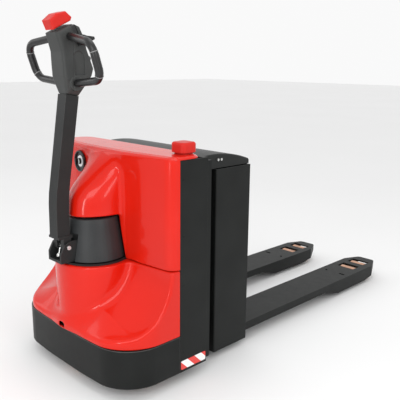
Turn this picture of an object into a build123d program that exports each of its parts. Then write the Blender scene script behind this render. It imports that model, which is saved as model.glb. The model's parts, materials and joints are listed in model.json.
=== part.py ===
from build123d import *
import os
from math import asin, cos, radians, sin, tan

# Electric pallet truck with a steered drive wheel under the tiller and lifting forks.
# Frame: +Z up from the floor, +Y towards the fork tips, +X across. The origin is on the
# floor, in the middle of the overall length, on the centre line. Millimetres.

# ---------------------------------------------------------------- driving dimensions
overall_width = 710      # over the bumper and the side panels
fork_length = 1150       # carriage rear face to the fork tips
body_length = 677        # bumper nose to the carriage rear face
tiller_overhang = 20     # upright tiller arm ahead of the bumper nose
body_height = 840        # floor to the painted deck
fork_spread = 570        # over the outer sides of the forks
fork_width = 172
fork_top = 85            # top of the lowered forks
lift_height = 120
cowl_depth = 263         # bumper nose to the black side panels
side_panel_length = 132
deck_depth = 375         # bumper nose to the rear edge of the painted deck
steer_setback = 148      # bumper nose to the steering axis
carriage_width = 612
lid_drop = 18            # crest of the battery lid below the deck

bumper_bottom = 48
bumper_top = 191
bumper_wall = 8
bumper_corner = 150
bumper_bow = 21          # how far the bumper front curves back at the sides
panel_wall = 6
cowl_wall = 5
seam_height = 441        # joint between the lower and the upper cowl

drive_wheel_diameter = 230
drive_wheel_width = 75
castor_diameter = 110
castor_width = 40
castor_offset = 245      # centre line to each castor's swivel axis
castor_trail = 32
roller_diameter = 82
roller_width = 84
roller_pitch = 100
load_arm_length = 210
lever_radius = 26        # pull rod eye to its pivot, on the load arm and the rocker

tilt_pivot_height = 505
tilt_pivot_reach = 133   # steering axis to the tilt pin
arm_width = 52
arm_depth = 51
arm_wall = 4
head_base_height = 1040
grip_diameter = 28
grip_half_span = 200

fit = 0.05               # radial running clearance of a shaft in its bore
gap = 0.5                # clearance between sliding faces
safe = 4                 # clearance between parts that pass each other

# ---------------------------------------------------------------- derived positions
overall_length = tiller_overhang + body_length + fork_length
y_tip = overall_length / 2
y_heel = y_tip - fork_length
y_nose = y_heel - body_length
y_steer = y_nose + steer_setback
y_split = y_nose + cowl_depth
y_panel_back = y_split + side_panel_length
y_deck_back = y_nose + deck_depth
bulkhead_wall = 8
y_bulkhead = y_deck_back - 12
y_carriage = y_deck_back + safe
y_pivot = y_steer - tilt_pivot_reach
half_width = overall_width / 2
half_carriage = carriage_width / 2
fork_centre = (fork_spread - fork_width) / 2
half_fork = fork_width / 2
wheel_centre_height = drive_wheel_diameter / 2

os.makedirs("parts", exist_ok=True)


def save(builder, label):
    """Label a finished piece and write its STEP file."""
    builder.part.label = label
    export_step(builder.part, f"parts/{label}.step")


def block(x, y, z, mode=Mode.ADD):
    """A box between its low and high limits on each axis."""
    with Locations(((x[0] + x[1]) / 2, (y[0] + y[1]) / 2, (z[0] + z[1]) / 2)):
        Box(x[1] - x[0], y[1] - y[0], z[1] - z[0], mode=mode)


def drum(radius, z, x=0.0, y=0.0, mode=Mode.ADD):
    """An upright cylinder between two heights."""
    with Locations((x, y, (z[0] + z[1]) / 2)):
        Cylinder(radius, z[1] - z[0], mode=mode)


def axle(radius, x, y, z, mode=Mode.ADD):
    """A cylinder along X between two x limits."""
    with Locations(((x[0] + x[1]) / 2, y, z)):
        Cylinder(radius, x[1] - x[0], rotation=(0, 90, 0), mode=mode)


# ---------------------------------------------------------------- chassis steelwork
def bumper_outline(inset, y_back):
    """Plan of the bumper: a bowed front with two large rounded corners."""
    half = half_width - inset
    front = y_nose + inset
    with BuildSketch() as outline:
        with BuildLine():
            ThreePointArc((-half, front + bumper_bow), (0, front), (half, front + bumper_bow))
            Polyline((half, front + bumper_bow), (half, y_back), (-half, y_back),
                     (-half, front + bumper_bow))
        make_face()
        corners = outline.vertices().group_by(Axis.Y)[0]
        fillet(corners, bumper_corner - inset)
    return outline.sketch


with BuildPart() as chassis_skirt:
    with BuildSketch(Plane.XY.offset(bumper_bottom)):
        add(bumper_outline(0, y_split))
    extrude(amount=bumper_top - bumper_bottom)
    with BuildSketch(Plane.XY.offset(bumper_bottom)):
        add(bumper_outline(bumper_wall, y_split + 50))
    extrude(amount=bumper_top - bumper_bottom, mode=Mode.SUBTRACT)
save(chassis_skirt, "chassis_skirt")

panel_top = body_height - 12
cowl_screw_radius = 5
cowl_screw_y = y_split + 18
cowl_screw_heights = (bumper_top - 70, seam_height - 60, seam_height + 120, body_height - 80)
with BuildPart() as side_panels:
    for side in (-1, 1):
        inner, outer = sorted((side * (half_width - panel_wall), side * half_width))
        block((inner, outer), (y_split + gap, y_panel_back), (bumper_bottom, panel_top))
    rims = edges().filter_by(Axis.Y).group_by(Axis.Z)[-1]
    fillet(rims.group_by(Axis.X)[0] + rims.group_by(Axis.X)[-1], panel_wall * 0.6)
    for side in (-1, 1):
        flange = sorted((side * (half_carriage + safe), side * (half_width - panel_wall)))
        block(flange, (y_deck_back + gap, y_panel_back), (panel_top - panel_wall, panel_top))
    for z in cowl_screw_heights:
        axle(cowl_screw_radius, (-half_width, half_width), cowl_screw_y, z, mode=Mode.SUBTRACT)
save(side_panels, "side_panels")

bulkhead_half = half_width - panel_wall
y_bulkhead_back = y_bulkhead + bulkhead_wall
foot_top = 62
foot_half = 60
cylinder_y = y_carriage + 28
with BuildPart() as bulkhead:
    block((-bulkhead_half, bulkhead_half), (y_bulkhead, y_bulkhead_back),
          (bumper_bottom, body_height - 20))
    block((-foot_half, foot_half), (y_bulkhead_back, cylinder_y + 24), (foot_top - 12, foot_top))
    for side in (-1, 1):
        with BuildSketch(Plane.YZ.offset(side * (foot_half - 5))):
            with BuildLine():
                Polyline((y_bulkhead_back, foot_top), (cylinder_y - 24, foot_top),
                         (y_bulkhead_back, foot_top + 40), close=True)
            make_face()
        extrude(amount=5, both=True)
save(bulkhead, "bulkhead")

plate_thickness = 10
wheel_sweep = ((drive_wheel_diameter / 2) ** 2 + (drive_wheel_width / 2) ** 2) ** 0.5
turret_wall = 8
turret_plate = 10
turret_inner = wheel_sweep + safe + 1
turret_top = drive_wheel_diameter + 28
ring_outer_radius = 105
ring_split_radius = 80
ring_height = 20
with BuildPart() as base_plate:
    with BuildSketch(Plane.XY.offset(bumper_top - plate_thickness)):
        add(bumper_outline(bumper_wall, y_split))
    extrude(amount=plate_thickness)
    block((-bulkhead_half, bulkhead_half), (y_split, y_bulkhead),
          (bumper_top - plate_thickness, bumper_top))
    drum(wheel_sweep + safe, (0, bumper_top + 1), y=y_steer, mode=Mode.SUBTRACT)
save(base_plate, "base_plate")

with BuildPart() as drive_turret:
    turret_half = turret_inner + turret_wall
    drum(ring_outer_radius + 2, (turret_top - turret_plate, turret_top), y=y_steer)
    block((-turret_half, turret_half), (y_steer + 10, y_steer + turret_half),
          (turret_top - turret_plate, turret_top))
    for side in (-1, 1):
        legs = sorted((side * turret_inner, side * turret_half))
        block(legs, (y_steer + 10, y_steer + turret_half), (bumper_top, turret_top))
    block((-turret_half / 2, turret_half / 2), (y_steer + turret_inner, y_steer + turret_half),
          (bumper_top, turret_top))
    drum(ring_split_radius + safe, (bumper_top, turret_top), y=y_steer, mode=Mode.SUBTRACT)
save(drive_turret, "drive_turret")

with BuildPart() as slewing_ring_outer:
    drum(ring_outer_radius, (turret_top, turret_top + ring_height), y=y_steer)
    drum(ring_split_radius + fit, (turret_top, turret_top + ring_height), y=y_steer,
         mode=Mode.SUBTRACT)
save(slewing_ring_outer, "slewing_ring_outer")

castor_y = y_steer + 14
castor_plate_z = bumper_top - plate_thickness - 6
castor_stem = 12
with BuildPart() as castor_top_plates:
    for side in (-1, 1):
        x = side * castor_offset
        block((x - 50, x + 50), (castor_y - 45, castor_y + 45), (castor_plate_z, castor_plate_z + 6))
        drum(castor_stem, (castor_plate_z - 17, castor_plate_z), x=x, y=castor_y)
save(castor_top_plates, "castor_top_plates")

rail_depth = 44
rail_web = 6
rail_outer = half_width - panel_wall
rail_y = (y_bulkhead_back + 2, y_bulkhead_back + 2 + rail_depth)
rail_z = (bumper_bottom + 12, body_height - 25)
with BuildPart() as mast_rails:
    for side in (-1, 1):
        web = sorted((side * (rail_outer - rail_web), side * rail_outer))
        lips = sorted((side * (rail_outer - 37), side * rail_outer))
        block(web, rail_y, rail_z)
        block(lips, (rail_y[0], rail_y[0] + 5), rail_z)
        block(lips, (rail_y[1] - 5, rail_y[1]), rail_z)
save(mast_rails, "mast_rails")

# ---------------------------------------------------------------- painted cowls
cowl_half = half_width
niche_top = 606
collar_bottom_radius = 121
collar_top_radius = 94
collar_bottom = seam_height + 7
collar_top = niche_top - 6
niche_gap = 8
nose_radius = 100
nose_top_half = 68       # half width of the tiller nose where it meets the deck
nose_taper_start = 690   # height where the sides of the nose start to lean in
face_setback = 200       # bumper nose to the cowl face beside the tiller nose
face_start = nose_radius + 15
face_turn = 28           # how far each face falls back from the nose to the corner


def cowl_plan(inset, y_back):
    """Plan of the upper cowl: two nearly flat faces that turn into the sides."""
    half = cowl_half - inset
    face = y_nose + face_setback + inset
    with BuildSketch() as plan:
        with BuildLine():
            Polyline((-half, y_back), (-half, face + face_turn), (-face_start, face), (face_start, face),
                     (half, face + face_turn), (half, y_back), close=True)
        make_face()
        fillet(plan.vertices().group_by(Axis.Y)[1], 26)
    return plan.sketch


def nose_profile(inset, base):
    """Side profile of the tiller nose, from its overhang to the deck."""
    face = y_nose + face_setback + inset
    with BuildSketch() as profile:
        with BuildLine():
            deck = body_height - inset
            crest = y_nose + 213 + 1.4 * inset
            brow = (y_nose + 63 + inset, niche_top + 95 - 0.5 * inset)
            Polyline((face + 40, base), (y_nose + 48 + inset, base), (y_nose + 50 + inset, base + 45), brow)
            ThreePointArc(brow, (y_nose + 123 + inset, (brow[1] + deck) / 2 + 7 - inset), (crest, deck))
            Polyline((crest, deck), (face + 40, deck), (face + 40, base))
        make_face()
    return profile.sketch


def upper_cowl_form(inset):
    """The closed upper cowl form at a given inset from its painted surface."""
    with BuildPart() as nose:
        with BuildSketch(Plane.YZ):
            add(nose_profile(inset, niche_top + inset))
        extrude(amount=nose_radius - inset, both=True)
        with BuildSketch(Plane.XY.offset(niche_top + inset)):
            with Locations((0, y_steer)):
                Circle(nose_radius - inset)
            with Locations((0, y_steer + 60)):
                Rectangle(2 * (nose_radius - inset), 120)
        extrude(amount=body_height - niche_top, mode=Mode.INTERSECT)
        with BuildSketch(Plane.XZ.offset(-y_steer - overall_width)):
            with BuildLine():
                Polyline((-nose_radius + inset, seam_height), (nose_radius - inset, seam_height),
                         (nose_radius - inset, nose_taper_start), (nose_top_half - inset, body_height + 1),
                         (-nose_top_half + inset, body_height + 1),
                         (-nose_radius + inset, nose_taper_start), close=True)
            make_face()
        extrude(amount=2 * overall_width, mode=Mode.INTERSECT)
    with BuildPart() as form:
        with BuildSketch(Plane.XY.offset(seam_height)):
            add(cowl_plan(inset, y_split))
        extrude(amount=body_height - inset - seam_height)
        top_edges = edges().group_by(Axis.Z)[-1]
        fillet(top_edges.filter_by(lambda e: e.center().Y < y_split - 1), 14)
        add(nose.part)
        with Locations((0, y_steer, (seam_height + niche_top + inset) / 2)):
            Cone(collar_bottom_radius + niche_gap + 2 + inset, collar_top_radius + niche_gap + inset,
                 niche_top + inset - seam_height, mode=Mode.SUBTRACT)
    return form


cowl_outer = upper_cowl_form(0)
cowl_inner = upper_cowl_form(cowl_wall)
gauge_radius = 42
gauge_body_radius = 37
gauge_x = -155
gauge_z = body_height - 68
face_run = cowl_half - face_start
gauge_y = y_nose + face_setback + (abs(gauge_x) - face_start) * face_turn / face_run
gauge_plane = Plane(origin=(gauge_x, gauge_y, gauge_z), x_dir=(face_run, -face_turn, 0),
                    z_dir=(-face_turn, -face_run, 0))
estop_x = 290
estop_y = y_nose + 337
estop_stem = 10
with BuildPart() as upper_cowl:
    add(cowl_outer.part)
    add(cowl_inner.part, mode=Mode.SUBTRACT)
    block((-cowl_half + 1, cowl_half - 1), (y_split, y_deck_back), (panel_top + 1, body_height))
    with BuildSketch(gauge_plane):
        Circle(gauge_body_radius)
    extrude(amount=30, both=True, mode=Mode.SUBTRACT)
    drum(estop_stem + 1, (body_height - 30, body_height + 1), x=estop_x, y=estop_y,
         mode=Mode.SUBTRACT)
save(upper_cowl, "upper_cowl")

scoop_radius = 220
column_radius = 143
column_foot_half = 132


def lower_cowl_form(inset):
    """Closed lower cowl form: bumper plan, two front scoops and a central column."""
    with BuildPart() as column:
        with BuildSketch(Plane.XY.offset(bumper_top - 1)):
            with Locations((0, y_steer)):
                Ellipse(column_foot_half - inset, column_radius - inset)
        with BuildSketch(Plane.XY.offset(seam_height + 30)):
            with Locations((0, y_steer)):
                Ellipse(column_radius + 12 - inset, column_radius - inset - 0.01)
        loft()
    with BuildPart() as scoops:
        with BuildSketch(Plane.YZ):
            with Locations((y_nose - 22, seam_height - 20)):
                Circle(scoop_radius + inset)
            with Locations((y_nose - 1, seam_height + 10)):
                Rectangle(2 * 199 + 2 * inset, 62)
        extrude(amount=overall_width, both=True)
        add(column.part, mode=Mode.SUBTRACT)
    with BuildPart() as form:
        with BuildSketch(Plane.XY.offset(bumper_top)):
            add(bumper_outline(inset, y_split))
        extrude(amount=seam_height - bumper_top)
        add(scoops.part, mode=Mode.SUBTRACT)
    return form


lower_outer = lower_cowl_form(0)
lower_inner = lower_cowl_form(cowl_wall)
with BuildPart() as lower_cowl:
    add(lower_outer.part)
    add(lower_inner.part, mode=Mode.SUBTRACT)
save(lower_cowl, "lower_cowl")

# ---------------------------------------------------------------- drive unit
axle_radius = 20
leg_inner = drive_wheel_width / 2 + 8.5
leg_outer = leg_inner + 38
leg_half = 50
leg_foot = 60
neck_radius = 55
wheel_clear_z = drive_wheel_diameter + safe
bridge_top = turret_top - turret_plate - safe
motor_base = turret_top + ring_height + 16
motor_radius = 68
motor_top = motor_base + 128
brake_top = motor_top + 38
column_plate = 12
with BuildPart() as gearbox_housing:
    with BuildSketch(Plane.YZ.offset(-leg_outer)):
        with Locations((y_steer, (leg_foot + bridge_top) / 2)):
            RectangleRounded(2 * leg_half, bridge_top - leg_foot, 40)
        with Locations((y_steer, bridge_top - 25)):
            Rectangle(2 * leg_half, 50)
    extrude(amount=leg_outer - leg_inner)
    block((-leg_outer, 60), (y_steer - leg_half, y_steer + leg_half), (wheel_clear_z, bridge_top))
    drum(neck_radius, (bridge_top - 1, turret_top + ring_height + 1), y=y_steer)
    drum(motor_radius + 6, (turret_top + ring_height + gap, motor_base), y=y_steer)
    axle(axle_radius + fit, (-leg_outer - 1, -leg_inner + 1), y_steer, wheel_centre_height,
         mode=Mode.SUBTRACT)
save(gearbox_housing, "gearbox_housing")

with BuildPart() as slewing_ring_inner:
    drum(ring_split_radius, (turret_top + gap, turret_top + ring_height + gap), y=y_steer)
    drum(neck_radius, (turret_top, turret_top + ring_height + 2), y=y_steer, mode=Mode.SUBTRACT)
save(slewing_ring_inner, "slewing_ring_inner")

with BuildPart() as drive_motor:
    drum(motor_radius, (motor_base, motor_top), y=y_steer)
    with BuildSketch(Plane.XY.offset(motor_base + 14)):
        with Locations((0, y_steer)):
            with PolarLocations(motor_radius, 24):
                Rectangle(8, 3)
    extrude(amount=motor_top - motor_base - 28, mode=Mode.SUBTRACT)
save(drive_motor, "drive_motor")

with BuildPart() as motor_brake:
    drum(50, (motor_top, brake_top), y=y_steer)
    fillet(edges().filter_by(GeomType.CIRCLE).group_by(Axis.Z)[-1], 6)
save(motor_brake, "motor_brake")

hub_radius = drive_wheel_diameter / 2 - 22
with BuildPart() as drive_wheel_hub:
    axle(hub_radius, (-drive_wheel_width / 2 + 3, drive_wheel_width / 2 - 3), y_steer,
         wheel_centre_height)
    axle(hub_radius - 16, (4, drive_wheel_width / 2), y_steer, wheel_centre_height,
         mode=Mode.SUBTRACT)
    axle(34, (-drive_wheel_width / 2, drive_wheel_width / 2 - 8), y_steer, wheel_centre_height)
    axle(axle_radius, (-leg_outer + 4, 0), y_steer, wheel_centre_height)
    with Locations(Plane.YZ.offset(drive_wheel_width / 2 - 8)):
        with Locations((y_steer, wheel_centre_height)):
            with PolarLocations(24, 5):
                Cylinder(5, 10)
save(drive_wheel_hub, "drive_wheel_hub")

with BuildPart() as drive_wheel_tyre:
    axle(drive_wheel_diameter / 2, (-drive_wheel_width / 2, drive_wheel_width / 2), y_steer,
         wheel_centre_height)
    rim_edges = edges().filter_by(GeomType.CIRCLE)
    fillet(rim_edges, 6)
    axle(hub_radius, (-drive_wheel_width, drive_wheel_width), y_steer, wheel_centre_height,
         mode=Mode.SUBTRACT)
save(drive_wheel_tyre, "drive_wheel_tyre")

# ---------------------------------------------------------------- steering head
collar_wall = 4
cheek_half = 42
cheek_wall = 9
pivot_z = tilt_pivot_height
with BuildPart() as steering_collar:
    cone_height = collar_top - collar_bottom
    with Locations((0, y_steer, (collar_bottom + collar_top) / 2)):
        Cone(collar_bottom_radius, collar_top_radius, cone_height)
    fillet(edges().filter_by(GeomType.CIRCLE).group_by(Axis.Z)[-1], 5)
    with Locations((0, y_steer, (collar_bottom + collar_top) / 2 - collar_wall)):
        Cone(collar_bottom_radius - collar_wall, collar_top_radius - collar_wall, cone_height,
             mode=Mode.SUBTRACT)
    block((-cheek_half - 1, cheek_half + 1), (y_steer - 200, y_steer - 60),
          (collar_bottom - 1, pivot_z + 42), mode=Mode.SUBTRACT)
save(steering_collar, "steering_collar")

base_front = y_pivot - 34
with BuildPart() as tiller_base:
    drum(62, (brake_top, brake_top + column_plate), y=y_steer)
    block((-34, 34), (y_steer - 100, y_steer), (brake_top, brake_top + column_plate))
    riser_bottom = min(brake_top, collar_bottom + 12)
    riser_top = max(brake_top, collar_bottom + 3) + column_plate
    block((-34, 34), (y_steer - 100, y_steer - 60), (riser_bottom, riser_top))
    block((-cheek_half, cheek_half), (y_pivot + 40, y_pivot + 50), (collar_bottom + 3, pivot_z + 40))
    block((-cheek_half, cheek_half), (base_front, y_pivot + 45), (collar_bottom + 3, collar_bottom + 12))
    for side in (-1, 1):
        inner = side * (cheek_half - cheek_wall)
        with BuildSketch(Plane.YZ.offset(min(inner, side * cheek_half))):
            with BuildLine():
                Polyline((y_pivot + 45, pivot_z + 22), (y_pivot + 4, pivot_z + 22),
                         (y_pivot - 16, pivot_z + 12), (base_front, pivot_z - 20),
                         (base_front, collar_bottom + 3), (y_pivot + 45, collar_bottom + 3), close=True)
            make_face()
            fillet(vertices().sort_by(Axis.Y)[-2:] , 6)
        extrude(amount=cheek_wall)
    axle(8, (-cheek_half - 1, cheek_half + 1), y_pivot, pivot_z, mode=Mode.SUBTRACT)
save(tiller_base, "tiller_base")

with BuildPart() as tilt_pin:
    axle(8, (-cheek_half - 3, cheek_half + 3), y_pivot, pivot_z)
    chamfer(edges().filter_by(GeomType.CIRCLE), 1)
save(tilt_pin, "tilt_pin")

# ---------------------------------------------------------------- tiller arm
arm_foot_z = pivot_z + 40
arm_bend_z = pivot_z + 95
arm_front = y_pivot - 35
arm_bend_radius = 986
arm_lean = 9.3


def arm_profile(inset):
    """Side profile of the tiller tube: upright, a long bend, then leaning back."""
    lean = radians(arm_lean)
    front = arm_front + inset
    back = arm_front + arm_depth - inset
    centre_y = arm_front + arm_bend_radius
    front_radius = centre_y - front
    back_radius = centre_y - back
    with BuildSketch() as profile:
        with BuildLine():
            reach = head_base_height - arm_bend_z - front_radius * sin(lean)
            front_bend = (centre_y - front_radius * cos(lean), arm_bend_z + front_radius * sin(lean))
            back_bend = (centre_y - back_radius * cos(lean), arm_bend_z + back_radius * sin(lean))
            front_top = (front_bend[0] + reach * tan(lean), front_bend[1] + reach)
            back_top = (front_top[0] + (back - front) * cos(lean),
                        front_top[1] - (back - front) * sin(lean))
            Line((front, arm_foot_z), (front, arm_bend_z))
            mid = lean / 2
            ThreePointArc((front, arm_bend_z),
                          (centre_y - front_radius * cos(mid), arm_bend_z + front_radius * sin(mid)),
                          front_bend)
            Line(front_bend, front_top)
            Line(front_top, back_top)
            Line(back_top, back_bend)
            ThreePointArc(back_bend,
                          (centre_y - back_radius * cos(mid), arm_bend_z + back_radius * sin(mid)),
                          (back, arm_bend_z))
            Line((back, arm_bend_z), (back, arm_foot_z))
            Line((back, arm_foot_z), (front, arm_foot_z))
        make_face()
    return profile.sketch


knuckle_half = cheek_half - cheek_wall - gap
with BuildPart() as tiller_arm:
    with BuildSketch(Plane.YZ):
        add(arm_profile(0))
    extrude(amount=arm_width / 2, both=True)
    with BuildSketch(Plane.YZ):
        add(arm_profile(arm_wall))
    extrude(amount=arm_width / 2 - arm_wall, both=True, mode=Mode.SUBTRACT)
    block((-knuckle_half, knuckle_half), (arm_front, arm_front + arm_depth + 6),
          (arm_foot_z - 8, arm_foot_z + 0.5))
    with BuildSketch(Plane.YZ.offset(-knuckle_half)):
        with Locations((y_pivot, pivot_z)):
            Circle(16)
        with Locations((y_pivot, pivot_z + 16)):
            Rectangle(32, 32)
    extrude(amount=2 * knuckle_half)
    block((-13, 13), (y_pivot - 20, y_pivot + 20), (pivot_z - 20, arm_foot_z - 8), mode=Mode.SUBTRACT)
    axle(8 + fit, (-knuckle_half - 1, knuckle_half + 1), y_pivot, pivot_z, mode=Mode.SUBTRACT)
save(tiller_arm, "tiller_arm")

# ---------------------------------------------------------------- tiller head
head_z = head_base_height
head_y = y_pivot + 26    # front lower corner of the head


def head_form(inset):
    """The closed form of the control head."""
    with BuildPart() as form:
        with BuildSketch(Plane.YZ):
            with BuildLine():
                Polyline((head_y + inset, head_z + inset), (head_y - 14 + inset, head_z + 60),
                         (head_y - 18 + inset, head_z + 140), (head_y - 36 + inset, head_z + 200 - inset),
                         (head_y + 30, head_z + 232 - inset), (head_y + 56 - inset, head_z + 222 - inset),
                         (head_y + 76 - inset, head_z + 180), (head_y + 80 - inset, head_z + 150),
                         (head_y + 104 - inset, head_z + 84), (head_y + 96 - inset, head_z + 60),
                         (head_y + 50 - inset, head_z - 8 + inset), close=True)
            make_face()
        extrude(amount=60, both=True)
        with BuildSketch(Plane.XZ.offset(-head_y - 200)):
            with BuildLine():
                Polyline((-26 + inset, head_z - 12), (26 - inset, head_z - 12), (44 - inset, head_z + 50),
                         (44 - inset, head_z + 100), (38 - inset, head_z + 240),
                         (-38 + inset, head_z + 240), (-44 + inset, head_z + 100),
                         (-44 + inset, head_z + 50), close=True)
            make_face()
        extrude(amount=400, mode=Mode.INTERSECT)
    return form


head_outer = head_form(0)
head_inner = head_form(4)
split_front = (head_y + 16, head_z - 20)
split_back = (head_y + 30, head_z + 240)
throttle_y = head_y + 48
throttle_z = head_z + 178
button_z = head_z + 118
button_y = head_y + 91.5
button_tilt = 20
button_spots = {"lift_button": -24, "horn_button": 0, "lower_button": 24}


def button_plane(x):
    """Plane on the rear face of the head, facing out along a thumb button's axis."""
    return Plane(origin=(x, button_y, button_z), x_dir=(1, 0, 0),
                 z_dir=(0, cos(radians(button_tilt)), sin(radians(button_tilt))))


with BuildPart() as head_core:
    add(head_outer.part)
    add(head_inner.part, mode=Mode.SUBTRACT)
    axle(7.5, (-60, 60), throttle_y, throttle_z, mode=Mode.SUBTRACT)
    for spot in button_spots.values():
        with BuildSketch(button_plane(spot)):
            Circle(8.5)
        extrude(amount=20, both=True, mode=Mode.SUBTRACT)
    with BuildSketch(Plane.XY.offset(head_z + 214)):
        with Locations((0, head_y - 2)):
            Rectangle(30, 20)
    extrude(amount=20, both=True, mode=Mode.SUBTRACT)

with BuildPart() as tiller_head:
    add(head_core.part)
    with BuildSketch(Plane.YZ.offset(-80)):
        with BuildLine():
            Polyline(split_front, split_back, (head_y + 300, head_z + 240),
                     (head_y + 300, head_z - 20), close=True)
        make_face()
    extrude(amount=160, mode=Mode.SUBTRACT)
save(tiller_head, "tiller_head")

with BuildPart() as head_cover:
    add(head_core.part)
    with BuildSketch(Plane.YZ.offset(-80)):
        with BuildLine():
            Polyline(split_front, split_back, (head_y - 300, head_z + 240),
                     (head_y - 300, head_z - 20), close=True)
        make_face()
    extrude(amount=160, mode=Mode.SUBTRACT)
save(head_cover, "head_cover")

for side, name in ((-1, "left_handle_loop"), (1, "right_handle_loop")):
    with BuildPart() as handle_loop:
        with BuildLine(Plane.XY) as loop_path:
            FilletPolyline((side * 20, head_y + 16, head_z + 192),
                           (side * grip_half_span, head_y - 12, head_z + 166),
                           (side * (grip_half_span - 2), head_y + 24, head_z + 50),
                           (side * 20, head_y + 31, head_z + 34), radius=42)
        with BuildSketch(Plane(loop_path.line @ 0, z_dir=loop_path.line % 0)):
            Circle(grip_diameter / 2)
        sweep()
        add(head_outer.part, mode=Mode.SUBTRACT)
        for scrap in solids().sort_by(SortBy.VOLUME)[:-1]:
            add(scrap, mode=Mode.SUBTRACT)
    save(handle_loop, name)

paddle_start = 47
paddle_end = 68
with BuildPart() as throttle_paddles:
    axle(6, (-paddle_end, paddle_end), throttle_y, throttle_z)
    for side in (-1, 1):
        inner = min(side * paddle_start, side * paddle_end)
        with BuildSketch(Plane.YZ.offset(inner)):
            with Locations((throttle_y, throttle_z)):
                Circle(17)
            with BuildLine():
                Polyline((throttle_y - 6, throttle_z + 16), (throttle_y + 44, throttle_z + 12),
                         (throttle_y + 46, throttle_z + 4), (throttle_y + 8, throttle_z - 15),
                         close=True)
            make_face()
        extrude(amount=paddle_end - paddle_start)
save(throttle_paddles, "throttle_paddles")

for name, spot in button_spots.items():
    with BuildPart() as thumb_button:
        with BuildSketch(button_plane(spot).offset(-7)):
            Circle(8.2)
        extrude(amount=14)
        fillet(edges().filter_by(GeomType.CIRCLE).sort_by(Axis.Y)[-1], 1.5)
    save(thumb_button, name)

with BuildPart() as belly_button:
    with BuildSketch(Plane.YZ):
        with BuildLine():
            Polyline((head_y - 38, head_z + 206), (head_y - 51, head_z + 238),
                     (head_y - 22, head_z + 262), (head_y + 9, head_z + 271),
                     (head_y + 32, head_z + 252), (head_y + 28, head_z + 238), close=True)
        make_face()
    extrude(amount=29, both=True)
    fillet(edges().filter_by(Axis.X).sort_by(Axis.Z)[2:], 9)
    fillet(edges().filter_by(Axis.Z, reverse=True).filter_by(
        lambda e: abs(e.center().X) > 28).sort_by(Axis.Z)[3:], 4)
    with BuildSketch(Plane.XY.offset(head_z + 204)):
        with Locations((0, head_y - 2)):
            Rectangle(26, 12)
    extrude(amount=30)
save(belly_button, "belly_button")

# ---------------------------------------------------------------- castors
castor_crown_top = castor_plate_z - safe
castor_axle_radius = 6
castor_leg_inner = castor_width / 2 + safe
castor_leg_outer = castor_leg_inner + 5
for side, prefix in ((-1, "left"), (1, "right")):
    x = side * castor_offset
    wheel_y = castor_y + castor_trail
    wheel_z = castor_diameter / 2
    with BuildPart() as castor_fork:
        block((x - castor_leg_outer, x + castor_leg_outer), (castor_y - 28, castor_y + 28),
              (castor_crown_top - 11, castor_crown_top))
        for leg_start in (-castor_leg_outer, castor_leg_inner):
            with BuildSketch(Plane.YZ.offset(x + leg_start)):
                with BuildLine():
                    Polyline((castor_y - 28, castor_crown_top), (castor_y + 28, castor_crown_top),
                             (wheel_y + 15, wheel_z), (wheel_y + 8, wheel_z - 13),
                             (wheel_y - 8, wheel_z - 13), (wheel_y - 15, wheel_z), close=True)
                make_face()
            extrude(amount=5)
        drum(castor_stem + fit, (castor_crown_top - 20, castor_crown_top + 1), x=x, y=castor_y,
             mode=Mode.SUBTRACT)
        axle(castor_axle_radius, (x - castor_leg_outer - 3, x + castor_leg_outer + 3), wheel_y, wheel_z)
    save(castor_fork, f"{prefix}_castor_fork")

    with BuildPart() as castor_wheel:
        axle(castor_diameter / 2, (x - castor_width / 2, x + castor_width / 2), wheel_y, wheel_z)
        fillet(edges().filter_by(GeomType.CIRCLE), 6)
        axle(castor_axle_radius + fit, (x - castor_width, x + castor_width), wheel_y, wheel_z,
             mode=Mode.SUBTRACT)
    save(castor_wheel, f"{prefix}_castor_wheel")

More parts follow.
